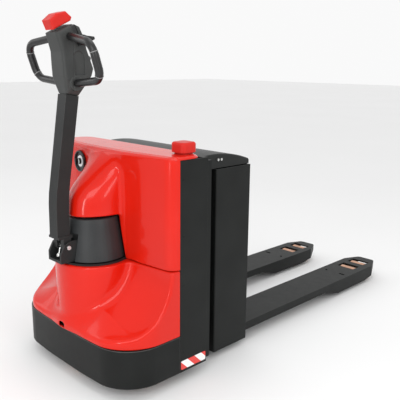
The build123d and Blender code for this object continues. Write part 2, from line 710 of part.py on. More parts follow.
# ---------------------------------------------------------------- carriage
carriage_bottom = 30
carriage_wall = 6
floor_z = 110
frame_top = body_height - 74
inner_half = half_carriage - 28
recess_length = 108
y_side = y_carriage + recess_length
y_rear = y_heel - carriage_wall
y_partition = cylinder_y + 24
rocker_y = y_heel - 95
rocker_z = 42
rocker_radius = 12
lever_swing = 18.04      # half the turn of the rocker and of each load arm, in degrees
rod_slot_half = 16
barrel_radius = 19
rod_radius = 11
thrust_z = 560
hinge_y = y_heel - 10
hinge_z = frame_top + 10
hinge_radius = 4
with BuildPart() as carriage_frame:
    block((-half_carriage, half_carriage), (y_rear, y_heel), (carriage_bottom, frame_top))
    block((-inner_half, inner_half), (y_carriage, y_carriage + 4), (floor_z, frame_top))
    block((-inner_half, inner_half), (y_partition, y_partition + 4), (floor_z, frame_top))
    block((-half_carriage, half_carriage), (y_side, y_rear), (floor_z, floor_z + 10))
    block((-inner_half, inner_half), (y_partition, y_side), (floor_z, floor_z + 10))
    block((-40, 40), (y_carriage, y_partition), (thrust_z, thrust_z + 12))
    for side in (-1, 1):
        outer = sorted((side * (half_carriage - carriage_wall), side * half_carriage))
        inner = sorted((side * (inner_half - carriage_wall), side * inner_half))
        step = sorted((side * (inner_half - carriage_wall), side * half_carriage))
        block(outer, (y_side, y_rear), (carriage_bottom, frame_top))
        block(inner, (y_carriage, y_side + carriage_wall), (floor_z, frame_top))
        block(step, (y_side, y_side + carriage_wall), (carriage_bottom, frame_top))
    bends = edges().filter_by(Axis.Z).filter_by(
        lambda e: abs(e.center().X) > half_carriage - 1 and abs(e.center().Y - y_side) < 1)
    fillet(bends, carriage_wall * 0.9)
    for side in (-1, 1):
        hanger = sorted((side * (half_fork + 145), side * (half_fork + 155)))
        block(hanger, (rocker_y - 22, rocker_y + 22), (rocker_z - 18, floor_z))
        lug = sorted((side * 186, side * 194))
        block(lug, (hinge_y - 8, y_rear), (frame_top - 30, hinge_z))
        axle(7, lug, hinge_y, hinge_z)
        axle(hinge_radius, sorted((side * 190, side * 208)), hinge_y, hinge_z)
        block((side * fork_centre - rod_slot_half, side * fork_centre + rod_slot_half),
              (y_rear - 1, y_heel + 1), (fork_top - 33, fork_top - 9), mode=Mode.SUBTRACT)
    axle(rocker_radius + fit, (-half_carriage + 20, half_carriage - 20), rocker_y, rocker_z,
         mode=Mode.SUBTRACT)
save(carriage_frame, "carriage_frame")

battery_clear = 8
with BuildPart() as battery:
    cell_top = frame_top - 80
    block((-inner_half + carriage_wall + battery_clear, inner_half - carriage_wall - battery_clear),
          (y_partition + 4 + battery_clear, y_rear - battery_clear - 14), (floor_z + 10, cell_top))
    fillet(edges().filter_by(Axis.Z), 10)
    cell_middle = (y_partition + y_rear - 10) / 2
    with BuildSketch(Plane.XY.offset(cell_top)):
        with Locations((0, cell_middle)):
            with GridLocations(44, 96, 12, 2):
                Circle(14)
    extrude(amount=12)
    for side in (-1, 1):
        drum(9, (cell_top, cell_top + 22), x=side * 262, y=cell_middle)
save(battery, "battery")

block_z = (180, 560)
with BuildPart() as guide_blocks:
    for side in (-1, 1):
        for z in block_z:
            span = sorted((side * inner_half, side * (rail_outer - rail_web - 1)))
            block(span, (rail_y[0] + 5 + gap, rail_y[1] - 5 - gap), (z, z + 60))
    chamfer(edges().filter_by(Axis.X), 3)
save(guide_blocks, "guide_blocks")

barrel_top = 400
with BuildPart() as cylinder_barrel:
    drum(barrel_radius, (foot_top, barrel_top), y=cylinder_y)
    drum(barrel_radius + 3, (barrel_top - 18, barrel_top), y=cylinder_y)
    drum(rod_radius + fit, (foot_top + 20, barrel_top + 1), y=cylinder_y, mode=Mode.SUBTRACT)
save(cylinder_barrel, "cylinder_barrel")

with BuildPart() as cylinder_rod:
    drum(rod_radius, (foot_top + 40, thrust_z), y=cylinder_y)
save(cylinder_rod, "cylinder_rod")

lid_bottom = hinge_z - 7
lid_front = y_carriage
lid_rear = y_heel - 4
lid_crest = lid_front + 0.42 * (lid_rear - lid_front)
lid_top = body_height - lid_drop
lid_rear_top = lid_bottom + 20


def lid_profile(inset):
    """Side profile of the battery lid: one long crown that falls towards the back."""
    front = (lid_front + inset, lid_top - 10 - inset)
    rear = (lid_rear - inset, lid_rear_top - inset)
    with BuildSketch() as profile:
        with BuildLine():
            ThreePointArc(front, (lid_crest, lid_top - inset), rear)
            Polyline(rear, (rear[0], lid_bottom - inset), (front[0], lid_bottom - inset), front)
        make_face()
    return profile.sketch


with BuildPart() as battery_lid:
    with BuildSketch(Plane.YZ):
        add(lid_profile(0))
    extrude(amount=half_carriage - 6, both=True)
    side_rims = edges().filter_by(lambda e: abs(abs(e.center().X) - half_carriage + 6) < 0.1)
    fillet(side_rims.filter_by(GeomType.CIRCLE), 8)
    with BuildSketch(Plane.YZ):
        add(lid_profile(4))
    extrude(amount=half_carriage - 10, both=True, mode=Mode.SUBTRACT)
    for side in (-1, 1):
        ear = sorted((side * 196, side * 204))
        block(ear, (hinge_y - 8, lid_rear - 3), (hinge_z - 5, lid_rear_top - 3))
    for x in (-150, 0, 150):
        with Locations((x, lid_front + 58, lid_top)):
            Box(110, 16, 40, mode=Mode.SUBTRACT)
    axle(hinge_radius + fit, (-half_carriage + 20, half_carriage - 20), hinge_y, hinge_z,
         mode=Mode.SUBTRACT)
    for side in (-1, 1):
        block(sorted((side * 184, side * 195.5)), (hinge_y - 12, lid_rear + 1),
              (lid_bottom - 5, hinge_z + 11), mode=Mode.SUBTRACT)
save(battery_lid, "battery_lid")

lid_side = half_carriage - 6
with BuildPart() as lid_screws:
    for side in (-1, 1):
        for offset in (11, 28):
            axle(5, sorted((side * lid_side, side * (lid_side + 5))), y_side + offset, lid_bottom + 32)
save(lid_screws, "lid_screws")

# ---------------------------------------------------------------- forks and linkage
pivot_y = y_tip - 346
load_pivot_z = 58
roller_radius = roller_diameter / 2
bogie_drop = load_pivot_z - roller_radius
bogie_y = pivot_y + (load_arm_length ** 2 - bogie_drop ** 2) ** 0.5
fork_wall = 6
belly_z = 17
shank_z = 50
fork_skin = 8
window_length = 60
window_width = roller_width + 12


def fork_plan(inset, x):
    """Plan of one fork with its tapered tip."""
    with BuildSketch() as plan:
        with BuildLine():
            Polyline((x - half_fork + inset, y_heel), (x - half_fork + inset, y_tip - 88),
                     (x - 46, y_tip - inset), (x + 46, y_tip - inset),
                     (x + half_fork - inset, y_tip - 88), (x + half_fork - inset, y_heel), close=True)
        make_face()
        fillet(plan.vertices().group_by(Axis.Y)[-1], 24 - inset)
    return plan.sketch


for side, prefix in ((-1, "left"), (1, "right")):
    x = side * fork_centre
    with BuildPart() as fork:
        with BuildSketch(Plane.YZ.offset(x - half_fork)):
            with BuildLine():
                Polyline((y_tip, fork_top), (y_heel, fork_top), (y_heel, shank_z),
                         (pivot_y - 187, shank_z), (pivot_y - 67, belly_z), (y_tip - 156, belly_z),
                         (y_tip - 60, belly_z + 16), (y_tip, belly_z + 44), close=True)
            make_face()
        extrude(amount=fork_width)
        with BuildSketch(Plane.XY):
            add(fork_plan(0, x))
        extrude(amount=fork_top, mode=Mode.INTERSECT)
        with BuildSketch(Plane.XY):
            add(fork_plan(fork_wall, x))
        extrude(amount=fork_top - fork_skin, mode=Mode.SUBTRACT)
        for y in (bogie_y - roller_pitch / 2, bogie_y + roller_pitch / 2):
            block((x - window_width / 2, x + window_width / 2),
                  (y - window_length / 2, y + window_length / 2),
                  (fork_top - 20, fork_top + 1), mode=Mode.SUBTRACT)
        with BuildSketch(Plane.XY.offset(fork_top - 20)):
            with Locations((x - side * 48, pivot_y + 22)):
                Circle(7)
            with Locations((x + side * 46, pivot_y + 22)):
                SlotOverall(34, 13)
        extrude(amount=30, mode=Mode.SUBTRACT)
        axle(8, (x - half_fork + 1, x + half_fork - 1), pivot_y, load_pivot_z)
    save(fork, f"{prefix}_fork")

    eye_y = lever_radius * sin(radians(lever_swing))
    eye_z = lever_radius * cos(radians(lever_swing))
    arm_eye = (pivot_y + eye_y, load_pivot_z - eye_z)
    rocker_eye = (rocker_y + eye_y, rocker_z + eye_z)
    bogie_half = roller_width / 2 + 10
    arm_inner = bogie_half + 2
    arm_outer = arm_inner + 8
    with BuildPart() as load_arm:
        for start in (-arm_outer, arm_inner):
            with BuildSketch(Plane.YZ.offset(x + start)):
                with BuildLine():
                    Polyline((pivot_y, load_pivot_z + 14), (bogie_y, roller_radius + 13),
                             (bogie_y, roller_radius - 13), (pivot_y, load_pivot_z - 14), close=True)
                make_face()
                with Locations((pivot_y, load_pivot_z)):
                    Circle(14)
                with Locations((bogie_y, roller_radius)):
                    Circle(13)
            extrude(amount=8)
        axle(12, (x - arm_outer, x + arm_outer), pivot_y, load_pivot_z)
        for start in (-14, 8):
            with BuildSketch(Plane.YZ.offset(x + start)):
                with BuildLine():
                    Polyline((pivot_y - 9, load_pivot_z), (pivot_y + 9, load_pivot_z),
                             (arm_eye[0] + 8, arm_eye[1]), (arm_eye[0] - 8, arm_eye[1]), close=True)
                make_face()
                with Locations(arm_eye):
                    Circle(8)
            extrude(amount=6)
        axle(5, (x - 14, x + 14), arm_eye[0], arm_eye[1])
        axle(8 + fit, (x - arm_outer - 1, x + arm_outer + 1), pivot_y, load_pivot_z, mode=Mode.SUBTRACT)
        axle(8 + fit, (x - arm_outer - 1, x + arm_outer + 1), bogie_y, roller_radius,
             mode=Mode.SUBTRACT)
    save(load_arm, f"{prefix}_load_arm")

    with BuildPart() as bogie:
        for start in (-bogie_half, bogie_half - 6):
            with BuildSketch(Plane.YZ.offset(x + start)):
                with Locations((bogie_y, roller_radius)):
                    SlotCenterToCenter(roller_pitch, 26)
            extrude(amount=6)
        for y in (bogie_y - roller_pitch / 2, bogie_y + roller_pitch / 2):
            axle(8, (x - bogie_half, x + bogie_half), y, roller_radius)
        axle(8, (x - arm_outer - 1, x - bogie_half + 1), bogie_y, roller_radius)
        axle(8, (x + bogie_half - 1, x + arm_outer + 1), bogie_y, roller_radius)
    save(bogie, f"{prefix}_bogie")

    for offset, place in ((-1, "rear"), (1, "front")):
        y = bogie_y + offset * roller_pitch / 2
        with BuildPart() as roller:
            axle(roller_radius, (x - roller_width / 2, x + roller_width / 2), y, roller_radius)
            chamfer(edges().filter_by(GeomType.CIRCLE), 3)
            axle(8 + fit, (x - roller_width, x + roller_width), y, roller_radius, mode=Mode.SUBTRACT)
        save(roller, f"{prefix}_{place}_roller")

with BuildPart() as pull_rods:
    for side in (-1, 1):
        x = side * fork_centre
        with BuildSketch(Plane.YZ.offset(x - 6)):
            with BuildLine():
                Polyline((rocker_eye[0], rocker_eye[1] + 5), (pivot_y - 150, rocker_eye[1] + 5),
                         (arm_eye[0], arm_eye[1] + 5), (arm_eye[0], arm_eye[1] - 5),
                         (pivot_y - 152, rocker_eye[1] - 5), (rocker_eye[0], rocker_eye[1] - 5),
                         close=True)
            make_face()
            with Locations(rocker_eye, arm_eye):
                Circle(11)
        extrude(amount=12)
        for eye in (rocker_eye, arm_eye):
            axle(7, (x - 7, x + 7), eye[0], eye[1], mode=Mode.SUBTRACT)
save(pull_rods, "pull_rods")

rocker_lever = 165
with BuildPart() as rocker_shaft:
    axle(rocker_radius, (-half_fork - 172, half_fork + 172), rocker_y, rocker_z)
    for side in (-1, 1):
        x = side * fork_centre
        for start in (-14, 8):
            with BuildSketch(Plane.YZ.offset(x + start)):
                with BuildLine():
                    Polyline((rocker_y - 9, rocker_z), (rocker_y + 9, rocker_z),
                             (rocker_eye[0] + 8, rocker_eye[1]), (rocker_eye[0] - 8, rocker_eye[1]),
                             close=True)
                make_face()
                with Locations(rocker_eye):
                    Circle(8)
            extrude(amount=6)
        axle(5, (x - 14, x + 14), rocker_eye[0], rocker_eye[1])
        with BuildSketch(Plane.YZ.offset(side * (foot_half + 16) - 5)):
            with Locations((rocker_y - rocker_lever / 2, rocker_z)):
                SlotCenterToCenter(rocker_lever, 22)
            with Locations((rocker_y - rocker_lever + 16, rocker_z)):
                SlotOverall(44, 12, mode=Mode.SUBTRACT)
        extrude(amount=10)
save(rocker_shaft, "rocker_shaft")

# ---------------------------------------------------------------- hydraulics and electrics
with BuildPart() as hydraulic_tank:
    block((-330, -200), (y_nose + 235, y_nose + 345), (bumper_top + 24, bumper_top + 220))
    fillet(edges().filter_by(Axis.Z), 14)
    drum(16, (bumper_top + 220, bumper_top + 236), x=-300, y=y_nose + 290)
save(hydraulic_tank, "hydraulic_tank")

with BuildPart() as pump_motor:
    axle(50, (-320, -200), y_nose + 295, bumper_top + 320)
    axle(34, (-200, -160), y_nose + 295, bumper_top + 320)
    axle(30, (-336, -320), y_nose + 295, bumper_top + 320)
save(pump_motor, "pump_motor")

with BuildPart() as motor_controller:
    block((170, 330), (y_nose + 305, y_nose + 360), (bumper_top + 110, bumper_top + 320))
    with BuildSketch(Plane.XY.offset(bumper_top + 110)):
        with Locations((250, y_nose + 307)):
            with GridLocations(14, 1, 10, 1):
                Rectangle(7, 16)
    extrude(amount=210, mode=Mode.SUBTRACT)
save(motor_controller, "motor_controller")

key_radius = 3
with BuildPart() as battery_gauge:
    with BuildSketch(gauge_plane):
        Circle(gauge_radius)
    extrude(amount=9)
    with BuildSketch(gauge_plane):
        Circle(gauge_body_radius)
    extrude(amount=-24)
    with BuildSketch(gauge_plane.offset(4)):
        Circle(gauge_radius - 7)
    extrude(amount=10, mode=Mode.SUBTRACT)
    with BuildSketch(gauge_plane):
        Circle(12)
    extrude(amount=12)
    with BuildSketch(gauge_plane.offset(-10)):
        Circle(key_radius + fit)
    extrude(amount=30, mode=Mode.SUBTRACT)
save(battery_gauge, "battery_gauge")

with BuildPart() as ignition_key:
    with BuildSketch(gauge_plane.offset(-8)):
        Circle(key_radius)
    extrude(amount=22)
    with BuildSketch(gauge_plane.offset(13)):
        RectangleRounded(4, 24, 1.5)
    extrude(amount=11)
save(ignition_key, "ignition_key")

estop_travel = 4
estop_size = 70
estop_height = 36
estop_base_size = estop_size - 16
estop_base_top = body_height + 12
with BuildPart() as emergency_stop_base:
    with BuildSketch(Plane.XY.offset(body_height)):
        with Locations((estop_x, estop_y)):
            RectangleRounded(estop_base_size, estop_base_size, 14)
    extrude(amount=estop_base_top - body_height)
    drum(estop_stem + fit, (body_height - 1, body_height + 20), x=estop_x, y=estop_y,
         mode=Mode.SUBTRACT)
save(emergency_stop_base, "emergency_stop_base")

with BuildPart() as emergency_stop_button:
    with BuildSketch(Plane.XY.offset(body_height + estop_travel + 1)):
        with Locations((estop_x, estop_y)):
            RectangleRounded(estop_size, estop_size, 18)
    extrude(amount=estop_height)
    fillet(edges().group_by(Axis.Z)[-1], 9)
    with BuildSketch(Plane.XY.offset(body_height)):
        with Locations((estop_x, estop_y)):
            RectangleRounded(estop_base_size + 6, estop_base_size + 6, 17)
    extrude(amount=estop_base_top - body_height + estop_travel + 2, mode=Mode.SUBTRACT)
    drum(estop_stem, (body_height - 20, body_height + 30), x=estop_x, y=estop_y)
save(emergency_stop_button, "emergency_stop_button")

with BuildPart() as cowl_screws:
    for side in (-1, 1):
        for z in cowl_screw_heights:
            axle(cowl_screw_radius, sorted((side * (bulkhead_half - 12), side * half_width)),
                 cowl_screw_y, z)
save(cowl_screws, "cowl_screws")
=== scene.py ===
import json
import math

import bmesh
import bpy
import numpy as np
from mathutils import Matrix, Vector

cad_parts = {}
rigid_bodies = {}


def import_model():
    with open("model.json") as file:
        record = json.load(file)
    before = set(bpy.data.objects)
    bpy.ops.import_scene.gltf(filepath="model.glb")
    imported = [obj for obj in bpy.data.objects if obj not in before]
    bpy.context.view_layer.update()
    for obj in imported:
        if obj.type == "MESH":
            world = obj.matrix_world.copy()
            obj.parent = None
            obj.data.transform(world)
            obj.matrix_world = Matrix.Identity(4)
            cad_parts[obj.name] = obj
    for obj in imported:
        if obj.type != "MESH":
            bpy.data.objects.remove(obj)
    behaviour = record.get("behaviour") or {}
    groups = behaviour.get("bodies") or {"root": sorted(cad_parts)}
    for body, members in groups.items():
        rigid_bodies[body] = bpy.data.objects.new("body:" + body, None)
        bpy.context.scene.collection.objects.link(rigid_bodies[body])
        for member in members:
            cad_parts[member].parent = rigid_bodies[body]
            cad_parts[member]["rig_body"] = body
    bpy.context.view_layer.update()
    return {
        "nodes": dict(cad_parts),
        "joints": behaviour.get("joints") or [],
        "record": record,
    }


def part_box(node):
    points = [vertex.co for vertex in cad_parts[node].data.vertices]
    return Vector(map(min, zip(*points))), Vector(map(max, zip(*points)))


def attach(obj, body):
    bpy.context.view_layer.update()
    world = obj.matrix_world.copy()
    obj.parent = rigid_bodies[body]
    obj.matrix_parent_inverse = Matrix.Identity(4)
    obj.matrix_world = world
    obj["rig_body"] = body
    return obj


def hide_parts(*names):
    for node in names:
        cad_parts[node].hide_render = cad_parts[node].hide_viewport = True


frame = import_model()

# Lengths in this file are in millimetres until a mesh is made, because the frame is easier to
# read that way. MM turns them into Blender's metres.
MM = 0.001


def span(node):
    """Lowest and highest corner of a CAD node, in millimetres."""
    low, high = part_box(node)
    return np.array(low) / MM, np.array(high) / MM


def joint_place(name):
    """Where a joint's axis passes, in millimetres."""
    joint = next(j for j in frame["joints"] if j["name"] == name)
    return np.array(joint["pos_m"]) / MM


skirt_low, skirt_high = span("chassis_skirt")
cowl_low, cowl_high = span("upper_cowl")
lower_high = span("lower_cowl")[1]
collar_high = span("steering_collar")[1]
arm_high = span("tiller_arm")[1]
steer = joint_place("steer")
tilt = joint_place("tiller_tilt")
throttle = joint_place("throttle_turn")
half_width = skirt_high[0]
nose_y = skirt_low[1]
split_y = lower_high[1]
seam_z = cowl_low[2]
deck_z = cowl_high[2]
bumper_z = skirt_high[2]
face_y = nose_y + 200          # cowl face beside the tiller nose
face_start = 115               # where each face starts to fall back, from the centre line
face_turn = 28                 # how far it falls back by the corner
niche_z = 606                  # underside of the tiller nose
deck_thickness = 11.4          # deck over the front of the side panels
head_y = tilt[1] + 26          # front lower corner of the head
head_z = arm_high[2]
cowl_mesh_step = 3.2
cowl_wall = 3
grip_start, grip_end = 0.44, 0.60   # ends of the rubber grip, as shares of a handle loop
paddle_x = 57.5                # centre of each thumb paddle
paddle_half = 10.5


# ---------------------------------------------------------------- solid fields and meshes
def soft_max(a, b, radius):
    """Intersection of two fields with a rounded edge."""
    reach = np.maximum(radius - np.abs(a - b), 0) / radius
    return np.maximum(a, b) + reach * reach * radius / 4


def soft_min(a, b, radius):
    """Union of two fields with a fillet."""
    return -soft_max(-a, -b, radius)


def ease(value, start, end):
    """0 before start, 1 after end, smooth between."""
    t = np.clip((value - start) / (end - start), 0, 1)
    return t * t * (3 - 2 * t)


def polygon(u, v, corners):
    """Signed distance to a closed outline, negative inside."""
    nearest = np.full(u.shape, 1e9)
    inside = np.zeros(u.shape, bool)
    for (au, av), (bu, bv) in zip(corners, corners[1:] + corners[:1]):
        eu, ev = bu - au, bv - av
        t = np.clip(((u - au) * eu + (v - av) * ev) / (eu * eu + ev * ev), 0, 1)
        nearest = np.minimum(nearest, (u - au - t * eu) ** 2 + (v - av - t * ev) ** 2)
        if ev:
            crosses = ((av > v) != (bv > v)) & (u < au + (v - av) * eu / ev)
            inside ^= crosses
    return np.sqrt(nearest) * np.where(inside, -1, 1)


def surface(name, field, low, high, step, cut=None):
    """Mesh of the surface where field(x, y, z) is zero, by surface nets, then pulled onto the field.
    cut(x, y, z) is true for the points of an open rim: faces made only of those are left out."""
    axes = [np.arange(a - 1.5 * step, b + 2.5 * step, step) for a, b in zip(low, high)]
    value = field(*np.meshgrid(*axes, indexing="ij"))
    solid = value < 0
    cells_across = [n - 1 for n in value.shape]
    corners = [(i, j, k) for i in (0, 1) for j in (0, 1) for k in (0, 1)]
    filled = sum(
        solid[i:i + cells_across[0], j:j + cells_across[1], k:k + cells_across[2]].astype(np.int8)
        for i, j, k in corners)
    cells = np.argwhere((filled > 0) & (filled < 8))
    total = np.zeros((len(cells), 3))
    hits = np.zeros(len(cells))
    for start in corners:
        for axis in range(3):
            if start[axis]:
                continue
            near = cells + start
            far = near.copy()
            far[:, axis] += 1
            a, b = value[tuple(near.T)], value[tuple(far.T)]
            crossed = (a < 0) != (b < 0)
            spot = near.astype(float)
            spot[:, axis] += a / np.where(crossed, a - b, 1)
            total += spot * crossed[:, None]
            hits += crossed
    points = total / hits[:, None] * step + [a[0] for a in axes]

    number = np.full(cells_across, -1)
    number[tuple(cells.T)] = np.arange(len(cells))
    quads = []
    for axis in range(3):
        u, v = (axis + 1) % 3, (axis + 2) % 3
        first = solid.take(range(value.shape[axis] - 1), axis)
        second = solid.take(range(1, value.shape[axis]), axis)
        edges = np.argwhere(first != second)
        ring = []
        for du, dv in ((-1, -1), (0, -1), (0, 0), (-1, 0)):
            cell = edges.copy()
            cell[:, u] += du
            cell[:, v] += dv
            ring.append(number[tuple(cell.T)])
        quad = np.stack(ring, axis=1)
        backwards = ~first[tuple(edges.T)]
        quad[backwards] = quad[backwards][:, ::-1]
        quads.append(quad)
    quads = np.concatenate(quads)

    probe = 0.02 * step
    for _ in range(4):
        slope = np.stack([(field(*(points + probe * e).T) - field(*(points - probe * e).T)) / (2 * probe)
                          for e in np.eye(3)], axis=1)
        pull = field(*points.T) / np.maximum((slope ** 2).sum(axis=1), 1e-6)
        points -= np.clip(pull[:, None] * slope, -0.4 * step, 0.4 * step)
    if cut is not None:
        on_rim = cut(*points.T)
        quads = quads[~on_rim[quads].all(axis=1)]
    mesh = bpy.data.meshes.new(name)
    mesh.from_pydata(points * MM, [], quads.tolist())
    mesh.validate()
    cleaner = bmesh.new()
    cleaner.from_mesh(mesh)
    bmesh.ops.delete(cleaner, geom=[v for v in cleaner.verts if not v.link_faces], context="VERTS")
    cleaner.to_mesh(mesh)
    cleaner.free()
    mesh.shade_smooth()
    return mesh


def circle(sides):
    """Angles of evenly spaced points on a circle."""
    return [2 * math.pi * k / sides for k in range(sides)]


def tube(name, line, radius, sides=32):
    """Round bar along a line of points, with flat ends. radius(share) is for a share of its length."""
    line = [Vector(p) for p in line]
    lengths = np.cumsum([0] + [(b - a).length for a, b in zip(line, line[1:])])
    normal = Vector((0, 1, 0.3))
    bm = bmesh.new()
    rings = []
    for i, point in enumerate(line):
        ahead = (line[min(i + 1, len(line) - 1)] - line[max(i - 1, 0)]).normalized()
        normal = (normal - ahead * normal.dot(ahead)).normalized()
        side = ahead.cross(normal)
        r = float(radius(lengths[i] / lengths[-1]))
        rings.append([bm.verts.new((point + normal * r * math.cos(t) + side * r * math.sin(t)) * MM)
                      for t in circle(sides)])
    for a, b in zip(rings, rings[1:]):
        for k in range(sides):
            bm.faces.new((a[k], b[k], b[(k + 1) % sides], a[(k + 1) % sides]))
    bm.faces.new(rings[0])
    bm.faces.new(reversed(rings[-1]))
    bmesh.ops.recalc_face_normals(bm, faces=bm.faces)
    mesh = bpy.data.meshes.new(name)
    bm.to_mesh(mesh)
    bm.free()
    mesh.shade_smooth()
    mesh.set_sharp_from_angle(angle=math.radians(50))
    return mesh


def lathe(name, profile, place, axis, sides=48):
    """Solid of revolution: profile is (radius, distance along the axis) from the axis and back to it."""
    bm = bmesh.new()
    turn = Vector(axis).to_track_quat("Z", "Y")
    rings = []
    for radius, along in profile:
        if radius == 0:
            rings.append([bm.verts.new((Vector(place) + turn @ Vector((0, 0, along))) * MM)])
            continue
        rings.append([bm.verts.new((Vector(place) + turn @ Vector(
            (radius * math.cos(t), radius * math.sin(t), along))) * MM)
            for t in circle(sides)])
    for a, b in zip(rings, rings[1:]):
        for k in range(sides):
            ring = [a[k % len(a)], a[(k + 1) % len(a)], b[(k + 1) % len(b)], b[k % len(b)]]
            bm.faces.new(list(dict.fromkeys(ring)))
    bmesh.ops.recalc_face_normals(bm, faces=bm.faces)
    mesh = bpy.data.meshes.new(name)
    bm.to_mesh(mesh)
    bm.free()
    mesh.shade_smooth()
    mesh.set_sharp_from_angle(angle=math.radians(40))
    return mesh


# ---------------------------------------------------------------- materials
def material(name, colour, rough, grain=900, relief=0.2, depth=0.0004, mottle=0.12, patch=7,
             uneven=0.06, metallic=0.0, coat=0.0, coat_rough=0.05, sheen=0.0, specular=0.5,
             brushed=False):
    """Moulded, painted or metal finish: fine grain relief, uneven gloss and a little colour drift."""
    made = bpy.data.materials.new(name)
    made.use_nodes = True
    nodes, links = made.node_tree.nodes, made.node_tree.links
    shader = nodes["Principled BSDF"]
    shader.inputs["Metallic"].default_value = metallic
    shader.inputs["Coat Weight"].default_value = coat
    shader.inputs["Coat Roughness"].default_value = coat_rough
    shader.inputs["Sheen Weight"].default_value = sheen
    shader.inputs["Specular IOR Level"].default_value = specular
    where = nodes.new("ShaderNodeTexCoord")
    stretch = nodes.new("ShaderNodeMapping")
    stretch.inputs["Scale"].default_value = (0.04, 1, 1) if brushed else (1, 1, 1)
    links.new(where.outputs["Object"], stretch.inputs["Vector"])

    def noise(scale, detail):
        node = nodes.new("ShaderNodeTexNoise")
        node.inputs["Scale"].default_value = scale
        node.inputs["Detail"].default_value = detail
        links.new(stretch.outputs["Vector"], node.inputs["Vector"])
        return node.outputs["Fac"]

    tone = nodes.new("ShaderNodeValToRGB")
    tone.color_ramp.elements[0].position = 0.3
    tone.color_ramp.elements[1].position = 0.7
    tone.color_ramp.elements[0].color = [c * (1 - mottle) for c in colour] + [1]
    tone.color_ramp.elements[1].color = [min(c * (1 + mottle), 1) for c in colour] + [1]
    links.new(noise(patch, 5), tone.inputs["Fac"])
    links.new(tone.outputs["Color"], shader.inputs["Base Color"])
    gloss = nodes.new("ShaderNodeMapRange")
    gloss.inputs["To Min"].default_value = max(rough - uneven, 0.02)
    gloss.inputs["To Max"].default_value = rough + uneven
    links.new(noise(patch * 4, 6), gloss.inputs["Value"])
    links.new(gloss.outputs["Result"], shader.inputs["Roughness"])
    bump = nodes.new("ShaderNodeBump")
    bump.inputs["Strength"].default_value = relief
    bump.inputs["Distance"].default_value = depth
    links.new(noise(grain, 3), bump.inputs["Height"])
    links.new(bump.outputs["Normal"], shader.inputs["Normal"])
    return made


looks = {
    "red_cowl": material("red_cowl", (0.62, 0.012, 0.004), 0.24, grain=260, relief=0.02, mottle=0.05,
                         patch=3, uneven=0.03, coat=0.28, coat_rough=0.04, specular=0.15),
    "red_button": material("red_button", (0.56, 0.018, 0.012), 0.36, grain=1500, relief=0.12,
                           mottle=0.06, patch=18, specular=0.2),
    "black_steel": material("black_steel", (0.0085, 0.0095, 0.0090), 0.46, grain=1400, relief=0.22,
                            mottle=0.22, patch=9, specular=0.18),
    "black_lid": material("black_lid", (0.012, 0.013, 0.0125), 0.42, grain=1100, relief=0.35,
                          mottle=0.15, patch=12, specular=0.22),
    "tiller_metal": material("tiller_metal", (0.016, 0.017, 0.017), 0.50, grain=1300, relief=0.30,
                             mottle=0.12, patch=10, specular=0.25),
    "collar_grey": material("collar_grey", (0.026, 0.028, 0.029), 0.42, grain=1000, relief=0.55,
                            mottle=0.14, patch=14, specular=0.3),
    "head_grey": material("head_grey", (0.045, 0.047, 0.046), 0.50, grain=1300, relief=0.40,
                          mottle=0.10, patch=20, specular=0.25),
    "grip_black": material("grip_black", (0.008, 0.008, 0.0085), 0.34, grain=1700, relief=0.25,
                           mottle=0.15, patch=24),
    "button_black": material("button_black", (0.008, 0.008, 0.009), 0.30, grain=1600, relief=0.15,
                             mottle=0.15, patch=30),
    "bright_steel": material("bright_steel", (0.62, 0.62, 0.61), 0.26, grain=700, relief=0.08,
                             mottle=0.10, patch=22, metallic=1.0),
    "cast_iron": material("cast_iron", (0.050, 0.052, 0.055), 0.62, grain=420, relief=0.7,
                          depth=0.0008, mottle=0.25, patch=16, metallic=0.4),
    "motor_paint": material("motor_paint", (0.030, 0.031, 0.034), 0.45, grain=1200, relief=0.2,
                            mottle=0.15, patch=12),
    "tyre_poly": material("tyre_poly", (0.50, 0.27, 0.17), 0.42, grain=800, relief=0.25,
                          mottle=0.18, patch=26),
    "battery_case": material("battery_case", (0.020, 0.021, 0.024), 0.50, grain=1000, relief=0.35,
                             mottle=0.12, patch=10),
    "tank_plastic": material("tank_plastic", (0.66, 0.64, 0.58), 0.42, grain=900, relief=0.25,
                             mottle=0.06, patch=9),
    "alloy": material("alloy", (0.50, 0.51, 0.52), 0.36, grain=1100, relief=0.2, mottle=0.08,
                      patch=15, metallic=1.0),
    "nylon": material("nylon", (0.76, 0.75, 0.69), 0.48, grain=900, relief=0.25, mottle=0.06, patch=20),
}
# lighter, shinier colour for the rounded edges: a painted highlight along the edges
painted_edge_highlight = material("painted_edge_highlight", (0.030, 0.031, 0.030), 0.36, grain=1400, relief=0.2, mottle=0.4, patch=60)
# near-black finish for the ring in the seam under the collar: painted shade of the gap
painted_gap_shade = material("painted_gap_shade", (0.004, 0.004, 0.004), 0.7, grain=600, relief=0.3, mottle=0.2, patch=30)
gauge_white = material("gauge_white", (0.78, 0.79, 0.80), 0.25, grain=800, relief=0.05, mottle=0.04,
                       patch=30, coat=0.6)
ring_grey = material("ring_grey", (0.20, 0.20, 0.20), 0.42, grain=1300, relief=0.2, mottle=0.08, patch=30)
slots = {p["node"]: p["material_slot"] for p in frame["record"]["subparts"]}


def piece(name, mesh, body, look, replaces=(), wall=0.0):
    """Puts a finished mesh in the scene, riding on a CAD body. wall gives an open skin its thickness."""
    made = bpy.data.objects.new(name, mesh)
    bpy.context.scene.collection.objects.link(made)
    if wall:
        shell = made.modifiers.new("wall", "SOLIDIFY")
        shell.thickness = wall * MM
        shell.offset = -1
    mesh.materials.append(look)
    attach(made, body)
    if replaces:
        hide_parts(*replaces)
    return made


